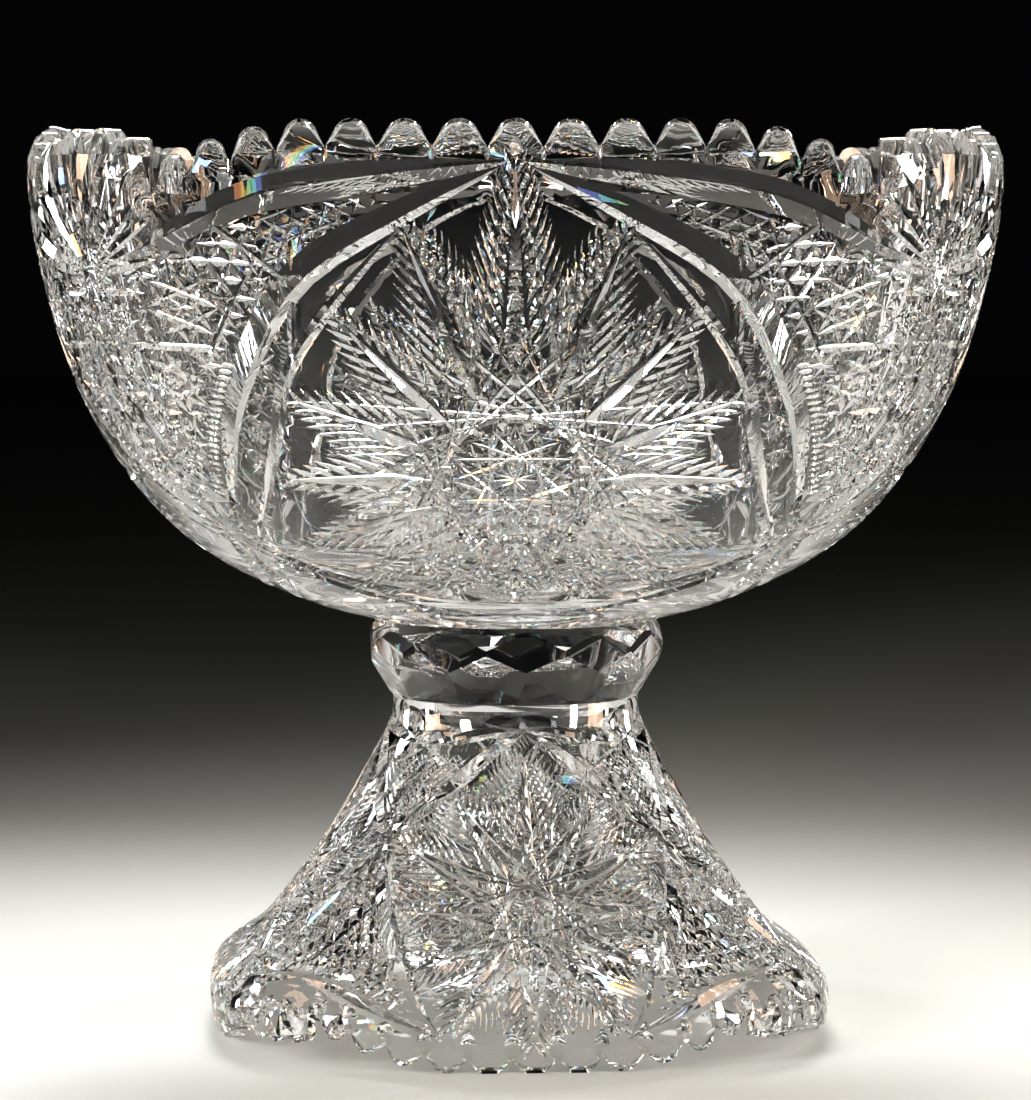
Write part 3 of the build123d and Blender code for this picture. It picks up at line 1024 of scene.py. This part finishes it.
def crystal(name):
    """Clear lead crystal with a slight drift of its colour and polish."""
    mat, nodes, links, shader = new_material(name)
    shader.inputs["IOR"].default_value = 1.55
    shader.inputs["Transmission Weight"].default_value = 1.0
    coords = nodes.new("ShaderNodeTexCoord")
    drift = nodes.new("ShaderNodeTexNoise")
    drift.inputs["Scale"].default_value = 60.0
    links.new(coords.outputs["Object"], drift.inputs["Vector"])
    tint = nodes.new("ShaderNodeValToRGB")
    tint.color_ramp.elements[0].color = (0.96, 0.975, 1.0, 1)
    tint.color_ramp.elements[1].color = (1.0, 0.985, 0.96, 1)
    links.new(drift.outputs["Fac"], tint.inputs["Fac"])
    links.new(tint.outputs["Color"], shader.inputs["Base Color"])
    rough = nodes.new("ShaderNodeMapRange")
    rough.inputs["To Min"].default_value = 0.0
    rough.inputs["To Max"].default_value = 0.008
    links.new(drift.outputs["Fac"], rough.inputs["Value"])
    links.new(rough.outputs["Result"], shader.inputs["Roughness"])
    return mat


def floor_material():
    """Plain pale floor with a very slight mottling."""
    mat, nodes, links, shader = new_material("pale_floor")
    shader.inputs["Roughness"].default_value = 0.7
    noise = nodes.new("ShaderNodeTexNoise")
    noise.inputs["Scale"].default_value = 3.0
    ramp = nodes.new("ShaderNodeValToRGB")
    ramp.color_ramp.elements[0].color = (0.44, 0.44, 0.44, 1)
    ramp.color_ramp.elements[1].color = (0.47, 0.47, 0.47, 1)
    links.new(noise.outputs["Fac"], ramp.inputs["Fac"])
    links.new(ramp.outputs["Color"], shader.inputs["Base Color"])
    return mat


def add_piece(name, mesh, node):
    """Object that stands for a CAD node and rides on its body."""
    mesh.materials.clear()
    mesh.materials.append(crystal(name + "_glass"))
    piece = add_object(name, mesh, bpy.context.scene.collection)
    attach(piece, node)
    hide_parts(node)


add_piece("cut_bowl", build_bowl(), "bowl")
add_piece("cut_stand", build_stand(), "stand")


# ---- Studio, in metres, watts and degrees ----
WHITE = (1.0, 1.0, 1.0)
COOL = (0.95, 0.98, 1.0)
CREAM = (1.0, 0.97, 0.93)
WARM = (1.0, 0.66, 0.45)
# Softboxes: name, place, target, size, power, colour, spread.
SOFTBOXES = [
    ("top", (0, 0.1, 1.7), (0, 0.05, 0), (0.5, 0.5), 3.2, WHITE, 50),
    ("front_left", (-1.2, -1.1, 0.75), (0, 0, 0.25), (0.3, 0.6), 8.0, WHITE, 45),
    ("front_right", (1.3, -0.9, 0.46), (0, 0, 0.25), (0.2, 0.66), 5.0, WHITE, 45),
    ("back", (0, 1.15, 1.2), (0, 0, 0.3), (0.9, 0.25), 9.0, WHITE, 45),
    ("back_left", (-1.2, 0.7, 0.46), (0, 0, 0.24), (0.2, 0.66), 7.0, COOL, 45),
    ("back_right", (1.2, 0.8, 0.46), (0, 0, 0.24), (0.2, 0.66), 7.0, CREAM, 45),
    ("card_left", (-1.6, -0.2, 0.5), (0, 0, 0.22), (0.5, 0.5), 5.0, WARM, 60),
    ("card_right", (1.6, -0.3, 0.4), (0, 0, 0.22), (0.5, 0.5), 4.0, WARM, 60),
]
# Strips of four spectral colours that overlap side by side, which lead crystal would
# spread white light into: name, first place, step, size, power.
SPECTRUM = [(0.25, 0.35, 1.0), (0.2, 1.0, 0.5), (1.0, 0.9, 0.2), (1.0, 0.35, 0.12)]
STRIPS = [
    ("strip_right", (0.30, -1.35, 0.85), (0.035, 0.01), (0.065, 0.22), 0.8),
    ("strip_left", (-0.55, -1.2, 0.55), (-0.035, 0.02), (0.065, 0.22), 0.8),
    ("strip_back", (-0.15, 0.95, 1.15), (0.045, 0.0), (0.08, 0.2), 0.9),
]
STRIP_TARGET = (0, 0, 0.25)
STRIP_SPREAD = 60
ROOM_LIGHT = (0.004, 0.004, 0.005, 1)
FLOOR_RADIUS = 8.0
FLOOR_SIDES = 96


def area_light(name, place, target, size, power, colour, spread):
    """Rectangular lamp aimed at a target."""
    data = bpy.data.lights.new(name, "AREA")
    data.shape = "RECTANGLE"
    data.size, data.size_y = size
    data.energy = power
    data.color = colour
    data.spread = math.radians(spread)
    lamp = add_object(name, data, bpy.context.scene.collection)
    lamp.location = place
    lamp.rotation_euler = (Vector(target) - Vector(place)).to_track_quat("-Z", "Y").to_euler()


def make_floor():
    """Round floor that reaches well past the view."""
    bm = bmesh.new()
    bmesh.ops.create_circle(bm, cap_ends=True, segments=FLOOR_SIDES, radius=FLOOR_RADIUS)
    mesh = bpy.data.meshes.new("floor")
    bm.to_mesh(mesh)
    bm.free()
    mesh.materials.append(floor_material())
    add_object("floor", mesh, bpy.context.scene.collection)


def make_lights():
    """Softboxes, coloured strips and dim surroundings."""
    for lamp in SOFTBOXES:
        area_light(*lamp)
    for name, (x, y, z), (dx, dy), size, power in STRIPS:
        for i, colour in enumerate(SPECTRUM):
            place = (x + dx * i, y + dy * i, z)
            area_light(name + str(i), place, STRIP_TARGET, size, power, colour, STRIP_SPREAD)
    world = bpy.data.worlds.new("dim_room")
    world.use_nodes = True
    world.node_tree.nodes["Background"].inputs["Color"].default_value = ROOM_LIGHT
    bpy.context.scene.world = world


VIEW_DISTANCE = 1.602
VIEW_HEIGHT = 0.286
VIEW_PITCH = 4.0
LENS = 142.9
SENSOR = 36.0


def make_camera():
    """Camera straight ahead of the front panel, just below the rim's height."""
    data = bpy.data.cameras.new("camera")
    data.lens = LENS
    data.sensor_width = SENSOR
    camera = add_object("camera", data, bpy.context.scene.collection)
    camera.location = (0.0, -VIEW_DISTANCE, VIEW_HEIGHT)
    camera.rotation_euler = (math.pi / 2 - math.radians(VIEW_PITCH), 0.0, 0.0)
    bpy.context.scene.camera = camera


def set_light_paths(scene):
    """Exposure, and enough bounces for light to cross many walls of glass."""
    scene.view_settings.view_transform = "Standard"
    scene.view_settings.exposure = -1.6
    scene.cycles.max_bounces = 24
    scene.cycles.transmission_bounces = 22
    scene.cycles.glossy_bounces = 12
    scene.cycles.diffuse_bounces = 2
    scene.cycles.sample_clamp_indirect = 12.0


make_floor()
make_lights()
make_camera()
set_light_paths(bpy.context.scene)
